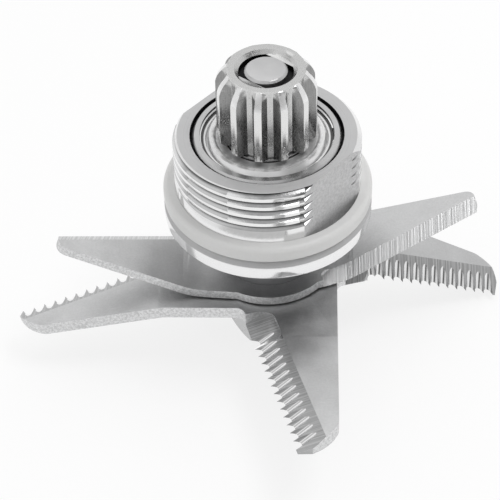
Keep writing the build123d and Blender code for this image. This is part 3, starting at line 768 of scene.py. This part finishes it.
def thread_cutter(sizes):
    """Helical groove cutter with a flat-bottomed sixty-degree section, running out at its foot."""
    outside = sizes.thread_radius + sizes.thread_root
    floor_half = sizes.thread_root / 2
    slope = tan(pi / 6)
    front = -pi / 2
    steps = int((sizes.thread_turns + RUN_OUT_TURNS) * sizes.thread_steps)
    shape = bmesh.new()
    previous = None
    for step in range(steps + 1):
        turns = step / sizes.thread_steps - RUN_OUT_TURNS
        azimuth = front + 2 * pi * turns
        height = sizes.thread_foot + sizes.thread_pitch * turns
        lift = max(0.0, FADING_TURNS - RUN_OUT_TURNS - turns) / FADING_TURNS * sizes.thread_depth
        floor = sizes.thread_radius - sizes.thread_depth + lift
        mouth_half = floor_half + (outside - floor) * slope
        corners = (
            (floor, -floor_half), (outside, -mouth_half), (outside, mouth_half), (floor, floor_half)
        )
        ring = [
            shape.verts.new((radius * cos(azimuth), radius * sin(azimuth), height + offset))
            for radius, offset in corners
        ]
        if previous:
            for this, that in zip(range(4), (1, 2, 3, 0)):
                shape.faces.new((previous[this], previous[that], ring[that], ring[this]))
        else:
            shape.faces.new(ring)
        previous = ring
    shape.faces.new(reversed(previous))
    bmesh.ops.recalc_face_normals(shape, faces=shape.faces)
    return object_from(shape, "thread_cutter")


def cut_away(body, cutter):
    """Mesh of the body less the cutter; both objects are used up."""
    cut = body.modifiers.new("cut", "BOOLEAN")
    cut.object = cutter
    cut.solver = "EXACT"
    bpy.context.view_layer.update()
    mesh = bpy.data.meshes.new_from_object(body.evaluated_get(bpy.context.evaluated_depsgraph_get()))
    if not mesh.polygons:
        raise RuntimeError(f"{cutter.name} leaves nothing of {body.name}")
    for used in (body, cutter):
        bpy.data.objects.remove(used)
    return mesh


# Operators


class BLADE_OT_housing(bpy.types.Operator):
    """Cuts the neck's thread and finishes the housing polished, faced and blasted, with painted shade in the
    thread's roots and in the gap round the upper bearing
    """

    bl_idname = "blade.housing"
    bl_label = "Housing"

    def execute(self, context):
        sizes, finishes = context.scene.blade_sizes, context.scene.blade_finishes
        root = sizes.thread_radius - sizes.thread_depth
        # Radius out to which painted shade darkens the thread's grooves
        out_of_shade = root + ROOT_SHADE_SHARE * sizes.thread_depth
        solid = solid_of("housing")
        fill_grooves(solid, sizes)
        blank = object_from(solid, "housing_blank")
        housing = object_with(cut_away(blank, thread_cutter(sizes)), "threaded_housing")
        stand_for(
            housing,
            "housing",
            polished_finish("housing_polished", finishes.bright_steel, 0.15),
            turned_finish("housing_faced", finishes.faced_steel, 0.62, 0.03),
            blasted_finish("housing_blasted", finishes.blasted_steel),
            turned_finish("housing_gap_shade", finishes.painted_gap_shade, 0.6),
            groove_finish("housing_flank", finishes.satin_steel, root, out_of_shade),
        )
        faced, blasted, painted_gap_shade, flank = range(1, 5)
        facing = flat_direction(sizes)
        for face in housing.data.polygons:
            reach = max(housing.data.vertices[corner].co.xy.length for corner in face.vertices)
            rise, height = face.normal.z, face.center.z
            # Painted shade: faces in the gap round the upper bearing take the near-black colour
            if reach < sizes.recess_radius and height > 0:
                face.material_index = painted_gap_shade
            # Level faces and the flange's lower chamfer take the faced finish; on the undersides its duller
            # colour is partly a real turned finish and partly painted shade
            elif abs(rise) > LEVEL or (rise > CHAMFER_RISE and height < 0):
                face.material_index = faced
            elif height > 0 and abs(face.normal.dot(facing)) > FLAT_MATCH:
                face.material_index = blasted
            elif height > GASKET_TOP and (abs(rise) > FLANK_RISE or reach < root + JOIN_DISTANCE):
                face.material_index = flank
        return {"FINISHED"}


class BLADE_OT_gasket(bpy.types.Operator):
    """Finishes the sealing gasket in white silicone"""

    bl_idname = "blade.gasket"
    bl_label = "Gasket"

    def execute(self, context):
        dress(silicone_finish("gasket_silicone", context.scene.blade_finishes.silicone), "gasket")
        return {"FINISHED"}


class BLADE_OT_bearings(bpy.types.Operator):
    """Finishes the rings, balls, cages, shields and snap wires of both bearings"""

    bl_idname = "blade.bearings"
    bl_label = "Bearings"

    def execute(self, context):
        finishes = context.scene.blade_finishes
        ground = ring_finish("bearing_ground", finishes.faced_steel)
        mirror = polished_finish("bearing_mirror", finishes.bright_steel, 0.1)
        pressed = shield_finish("bearing_pressed", finishes.bright_steel)
        moulded = moulded_finish("bearing_cage", finishes.cage)
        for name in BEARINGS:
            dress(ground, f"{name}_outer_ring", f"{name}_inner_ring")
            dress(mirror, f"{name}_balls", f"{name}_top_snap_wire", f"{name}_bottom_snap_wire")
            dress(pressed, f"{name}_top_shield", f"{name}_bottom_shield")
            dress(moulded, f"{name}_cage")
        return {"FINISHED"}


class BLADE_OT_seal(bpy.types.Operator):
    """Finishes the shaft seal's case, lip and spring"""

    bl_idname = "blade.seal"
    bl_label = "Shaft Seal"

    def execute(self, context):
        finishes = context.scene.blade_finishes
        dress(turned_finish("seal_pressed", finishes.satin_steel, 0.35), "seal_case", "garter_spring")
        dress(rubber_finish("seal_rubber", finishes.rubber), "seal_lip")
        return {"FINISHED"}


class BLADE_OT_spindle(bpy.types.Operator):
    """Finishes the spindle, with painted shade round its tip, and the sleeve between its bearings"""

    bl_idname = "blade.spindle"
    bl_label = "Spindle"

    def execute(self, context):
        sizes, finishes = context.scene.blade_sizes, context.scene.blade_finishes
        satin = turned_finish("spindle_satin", finishes.spindle_steel, 0.36, 0.008, 0.1)
        gap_shade_finish = turned_finish("spindle_gap_shade", finishes.painted_gap_shade, 0.6)
        shape = solid_of("spindle")
        top = max(vert.co.z for vert in shape.verts)
        for face in shape.faces:
            depth = top - face.calc_center_median().z
            # Painted shade: the level faces just under the tip, in the gap round it, take the near-black
            # colour
            if face.normal.z > LEVEL and JOIN_DISTANCE < depth < sizes.tip_length:
                face.material_index = GAP_SHADE_SLOT
        break_edges(shape, sizes.turned_wear)
        stand_for(object_from(shape, "turned_spindle"), "spindle", satin, gap_shade_finish)
        dress(satin, "inner_spacer")
        return {"FINISHED"}


class BLADE_OT_spline(bpy.types.Operator):
    """Draws the noses of the drive spline's teeth, wears its edges and finishes it in sintered steel"""

    bl_idname = "blade.spline"
    bl_label = "Drive Spline"

    def execute(self, context):
        sizes, finishes = context.scene.blade_sizes, context.scene.blade_finishes
        shape = solid_of("drive_spline")
        draw_noses(shape, sizes)
        low, high = NOSE_RISE
        for face in shape.faces:
            outward = face.calc_center_median().xy.normalized()
            if low < face.normal.z < high and face.normal.xy.normalized().dot(outward) > CREST_MATCH:
                face.material_index = WORN_SLOT
        break_edges(shape, sizes.spline_wear, smallest=TOOTH_AREA, slot=WORN_SLOT)
        sintered = sintered_finish("spline_sintered", finishes.sintered_steel)
        worn = polished_finish("spline_worn", finishes.bright_steel, 0.3)
        stand_for(object_from(shape, "worn_spline"), "drive_spline", sintered, worn)
        return {"FINISHED"}


class BLADE_OT_collar(bpy.types.Operator):
    """Finishes the collar between the housing and the blades in steel darkened with painted shade"""

    bl_idname = "blade.collar"
    bl_label = "Blade Collar"

    def execute(self, context):
        sizes, finishes = context.scene.blade_sizes, context.scene.blade_finishes
        dark = turned_finish("collar_shaded", finishes.shaded_collar_steel, 0.42, 0.006)
        worn_piece("blade_collar", "turned_collar", sizes.turned_wear, dark)
        return {"FINISHED"}


class BLADE_OT_blades(bpy.types.Operator):
    """Breaks the edges of both blades and finishes their sheet, bevels, flutes and sheared edges"""

    bl_idname = "blade.blades"
    bl_label = "Blades"

    def execute(self, context):
        sizes, finishes = context.scene.blade_sizes, context.scene.blade_finishes
        sheet = sheet_finish("blade_sheet", finishes.satin_steel)
        edge = sheared_finish("blade_edge", finishes.satin_steel)
        flute = polished_finish("blade_flute", finishes.bright_steel, 0.12)
        coarse = ground_finish("blade_coarse_bevel", finishes.satin_steel, 0.66, 1.4)
        fine = ground_finish("blade_fine_bevel", finishes.satin_steel, 0.46, 1.05)
        for node, name, bevel in (
            ("two_wing_blade", "plain_blade", coarse),
            ("four_wing_blade", "serrated_blade", fine),
        ):
            shape = solid_of(node)
            sort_blade_faces(shape)
            break_edges(shape, sizes.blade_wear, smallest=PLAIN_AREA)
            stand_for(object_from(shape, name), node, sheet, bevel, edge, flute)
        return {"FINISHED"}


class BLADE_OT_fasteners(bpy.types.Operator):
    """Finishes the spacer, washer and cap nut"""

    bl_idname = "blade.fasteners"
    bl_label = "Fasteners"

    def execute(self, context):
        sizes, finishes = context.scene.blade_sizes, context.scene.blade_finishes
        turned = turned_finish("fastener_turned", finishes.satin_steel, 0.28, 0.006)
        worn_piece("cap_nut", "worn_nut", sizes.turned_wear, turned)
        dress(turned, "blade_spacer", "nut_washer")
        return {"FINISHED"}


class BLADE_OT_stage(bpy.types.Operator):
    """Sets up the pale floor, the soft lights and the camera"""

    bl_idname = "blade.stage"
    bl_label = "Stage"

    def execute(self, context):
        stage = context.scene.blade_stage
        context.scene.view_settings.view_transform = "Standard"
        add_floor(stage)
        add_sky(stage)
        add_softbox("key_softbox", stage.key_light)
        add_camera(stage)
        return {"FINISHED"}


# Stage


def add_floor(stage):
    """Pale floor that keeps the shadow and, where it is seen, shows white of its own."""
    shape = bmesh.new()
    corners = ((-1, -1), (1, -1), (1, 1), (-1, 1))
    shape.faces.new(
        [shape.verts.new((x * FLOOR_HALF, y * FLOOR_HALF, FLOOR_HEIGHT)) for x, y in corners]
    )
    floor = object_from(shape, "floor")
    paper = Finish("floor_paper", 0.0, Specular_IOR_Level=0.0, Roughness=0.9)
    paper.set(Base_Color=paper.shade(stage.floor, paper.noise(0.02, 2.0), 0.995, 1.005))
    white = paper.node("ShaderNodeEmission", None, {"Color": WHITE, "Strength": 1.0})
    seen = ("Is Camera Ray", "Is Glossy Ray", "Is Transmission Ray")
    lift = sum(paper.node("ShaderNodeLightPath", output=ray) for ray in seen) * stage.floor_lift
    plain = Value(paper, paper.shader.outputs[0])
    both = paper.node("ShaderNodeMixShader", None, {0: lift, 1: plain, 2: white})
    paper.feed(paper.tree.nodes["Material Output"].inputs["Surface"], both)
    floor.data.materials.append(paper.material)


def add_sky(stage):
    """Soft surrounding light: walls, a glow, a roof with a dark seam, a dim front and two dark flags."""
    world = bpy.data.worlds.new("studio")
    world.use_nodes = True
    bpy.context.scene.world = world
    sky = NodeBuilder(world.node_tree)
    towards = sky.node("ShaderNodeTexCoord", output="Generated")
    right, back, up = sky.axes(towards)

    def patch(direction, begin, full):
        along = {0: towards, 1: direction}
        facing = sky.node("ShaderNodeVectorMath", {"operation": "DOT_PRODUCT"}, along, "Value")
        return sky.span(facing, begin, full)

    seam = sky.span(abs(right + SEAM_LEFT), *SEAM_SIDES)
    seam = seam * sky.span(back, *SEAM_BACK) * sky.span(up, *SEAM_LOW)
    shade = SKY_WALLS + SKY_ROOF * sky.span(up, *ROOF_FROM) + SKY_GLOW * patch(*GLOW)
    for share, dark in (
        (SEAM_SHARE, seam),
        (FRONT_SHARE, sky.span(back, *FRONT_FROM)),
        (LEFT_SHARE, patch(*LEFT_FLAG)),
        (RIGHT_SHARE, patch(*RIGHT_FLAG)),
    ):
        shade = shade * (1 - share * dark)
    wall = world.node_tree.nodes["Background"]
    sky.feed(wall.inputs["Color"], sky.blend(shade, BLACK, WHITE))
    sky.feed(wall.inputs["Strength"], stage.sky)


def add_softbox(name, power):
    """Square soft light aimed at the origin."""
    lamp = bpy.data.lights.new(name, "AREA")
    lamp.size = SOFTBOX_SIZE
    lamp.energy = power
    light = bpy.data.objects.new(name, lamp)
    bpy.context.scene.collection.objects.link(light)
    light.location = SOFTBOX_PLACE
    light.rotation_euler = (-light.location).to_track_quat("-Z", "Y").to_euler()


def add_camera(stage):
    """Camera at the photograph's place and angle."""
    heading, dip, roll = stage.camera_heading, stage.camera_dip, stage.camera_roll
    look = Vector((sin(heading) * cos(dip), cos(heading) * cos(dip), -sin(dip)))
    level = Vector((cos(heading), -sin(heading), 0))
    rise = level.cross(look)
    right = level * cos(roll) + rise * sin(roll)
    up = rise * cos(roll) - level * sin(roll)
    turn = Matrix((right, up, -look)).transposed().to_4x4()
    lens = bpy.data.cameras.new("camera")
    lens.lens = stage.camera_lens
    lens.clip_start = CLIP_START
    camera = bpy.data.objects.new("camera", lens)
    bpy.context.scene.collection.objects.link(camera)
    camera.matrix_world = Matrix.Translation(stage.camera_place) @ turn
    bpy.context.scene.camera = camera


# Sidebar panel


class BLADE_PT_assembly(bpy.types.Panel):
    """Lists the pieces and their settings"""

    bl_label = "Blade Assembly"
    bl_idname = "BLADE_PT_assembly"
    bl_space_type = "VIEW_3D"
    bl_region_type = "UI"
    bl_category = "Blade Assembly"

    def draw(self, context):
        column = self.layout.column()
        for operator in OPERATORS:
            column.operator(operator.bl_idname)
        for settings in (context.scene.blade_sizes, context.scene.blade_finishes, context.scene.blade_stage):
            box = self.layout.box()
            for name in settings.__annotations__:
                box.prop(settings, name)


SETTINGS = {
    "blade_sizes": BladeSizeSettings,
    "blade_finishes": BladeFinishSettings,
    "blade_stage": BladeStageSettings,
}
OPERATORS = (
    BLADE_OT_housing,
    BLADE_OT_gasket,
    BLADE_OT_bearings,
    BLADE_OT_seal,
    BLADE_OT_spindle,
    BLADE_OT_spline,
    BLADE_OT_collar,
    BLADE_OT_blades,
    BLADE_OT_fasteners,
    BLADE_OT_stage,
)
CLASSES = (*SETTINGS.values(), *OPERATORS, BLADE_PT_assembly)


def register():
    for made in CLASSES:
        bpy.utils.register_class(made)
    for name, settings in SETTINGS.items():
        setattr(bpy.types.Scene, name, PointerProperty(type=settings))


def unregister():
    for name in SETTINGS:
        delattr(bpy.types.Scene, name)
    for made in reversed(CLASSES):
        bpy.utils.unregister_class(made)


def main():
    register()
    bpy.ops.blade.housing()
    bpy.ops.blade.gasket()
    bpy.ops.blade.bearings()
    bpy.ops.blade.seal()
    bpy.ops.blade.spindle()
    bpy.ops.blade.spline()
    bpy.ops.blade.collar()
    bpy.ops.blade.blades()
    bpy.ops.blade.fasteners()
    bpy.ops.blade.stage()


if __name__ == "__main__":
    main()
